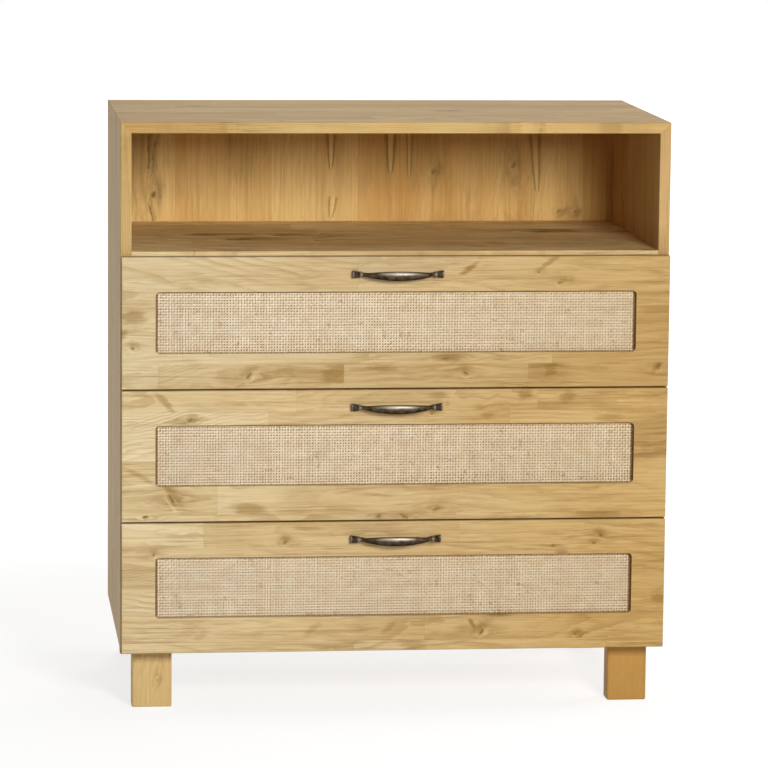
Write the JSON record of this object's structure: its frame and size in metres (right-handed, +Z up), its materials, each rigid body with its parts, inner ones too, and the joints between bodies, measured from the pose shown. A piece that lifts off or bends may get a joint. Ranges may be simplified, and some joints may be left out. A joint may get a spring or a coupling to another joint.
{
  "type": "changing dresser",
  "caption": "Pine changing dresser: a flat top over an open shelf and full-width drawers with cane panels and bow pulls, on short block legs.",
  "frame": {"origin": "middle of the bounding box at floor level, under the legs", "axes": "+Z up, +X to the right of someone facing the drawers, -Y out of the drawer fronts"},
  "size_m": [0.9, 0.527, 0.97],
  "materials": {
    "carcass_pine": "clear satin lacquer",
    "back_panel_pine": "clear satin lacquer",
    "drawer_front_pine": "clear satin lacquer",
    "drawer_box_pine": "sanded, unfinished",
    "plywood": "sanded birch plywood",
    "beech": "fluted dowel",
    "cane": "natural woven cane",
    "antique_bronze": "dark antique bronze",
    "zinc_steel": "zinc plated"
  },
  "bodies": {
    "carcass": {"top_board": "carcass_pine", "left_side": "carcass_pine", "right_side": "carcass_pine", "shelf": "carcass_pine", "bottom_board": "carcass_pine", "back_panel": "back_panel_pine", "front_left_leg": "carcass_pine", "front_right_leg": "carcass_pine", "back_left_leg": "carcass_pine", "back_right_leg": "carcass_pine", "leg_bolts": "zinc_steel", "carcass_dowels": "beech", "back_panel_screws": "zinc_steel", "left_cabinet_rails": "zinc_steel", "right_cabinet_rails": "zinc_steel", "cabinet_rail_screws": "zinc_steel"},
    "drawer_1": {"drawer_1_front": "drawer_front_pine", "drawer_1_cane_panel": "cane", "drawer_1_cane_backing": "plywood", "drawer_1_pull": "antique_bronze", "drawer_1_pull_screws": "zinc_steel", "drawer_1_box_left": "drawer_box_pine", "drawer_1_box_right": "drawer_box_pine", "drawer_1_box_front": "drawer_box_pine", "drawer_1_box_back": "drawer_box_pine", "drawer_1_box_bottom": "plywood", "drawer_1_box_screws": "zinc_steel", "drawer_1_left_rail": "zinc_steel", "drawer_1_right_rail": "zinc_steel"},
    "drawer_1_slide_middle": {"drawer_1_middle_rails": "zinc_steel"},
    "drawer_2": {"drawer_2_front": "drawer_front_pine", "drawer_2_cane_panel": "cane", "drawer_2_cane_backing": "plywood", "drawer_2_pull": "antique_bronze", "drawer_2_pull_screws": "zinc_steel", "drawer_2_box_left": "drawer_box_pine", "drawer_2_box_right": "drawer_box_pine", "drawer_2_box_front": "drawer_box_pine", "drawer_2_box_back": "drawer_box_pine", "drawer_2_box_bottom": "plywood", "drawer_2_box_screws": "zinc_steel", "drawer_2_left_rail": "zinc_steel", "drawer_2_right_rail": "zinc_steel"},
    "drawer_2_slide_middle": {"drawer_2_middle_rails": "zinc_steel"},
    "drawer_3": {"drawer_3_front": "drawer_front_pine", "drawer_3_cane_panel": "cane", "drawer_3_cane_backing": "plywood", "drawer_3_pull": "antique_bronze", "drawer_3_pull_screws": "zinc_steel", "drawer_3_box_left": "drawer_box_pine", "drawer_3_box_right": "drawer_box_pine", "drawer_3_box_front": "drawer_box_pine", "drawer_3_box_back": "drawer_box_pine", "drawer_3_box_bottom": "plywood", "drawer_3_box_screws": "zinc_steel", "drawer_3_left_rail": "zinc_steel", "drawer_3_right_rail": "zinc_steel"},
    "drawer_3_slide_middle": {"drawer_3_middle_rails": "zinc_steel"}
  },
  "joints": [
    {"name": "drawer_1_slide", "type": "slide", "parent": "carcass", "child": "drawer_1", "axis": [0, -1, 0], "range_m": [0, 0.4]},
    {"name": "drawer_1_middle_slide", "type": "slide", "parent": "carcass", "child": "drawer_1_slide_middle", "axis": [0, -1, 0], "range_m": [0, 0.2]},
    {"name": "drawer_2_slide", "type": "slide", "parent": "carcass", "child": "drawer_2", "axis": [0, -1, 0], "range_m": [0, 0.4]},
    {"name": "drawer_2_middle_slide", "type": "slide", "parent": "carcass", "child": "drawer_2_slide_middle", "axis": [0, -1, 0], "range_m": [0, 0.2]},
    {"name": "drawer_3_slide", "type": "slide", "parent": "carcass", "child": "drawer_3", "axis": [0, -1, 0], "range_m": [0, 0.4]},
    {"name": "drawer_3_middle_slide", "type": "slide", "parent": "carcass", "child": "drawer_3_slide_middle", "axis": [0, -1, 0], "range_m": [0, 0.2]}
  ],
  "couplings": [
    {"joint": "drawer_1_middle_slide", "follows": "drawer_1_slide", "ratio": 0.5},
    {"joint": "drawer_2_middle_slide", "follows": "drawer_2_slide", "ratio": 0.5},
    {"joint": "drawer_3_middle_slide", "follows": "drawer_3_slide", "ratio": 0.5}
  ]
}
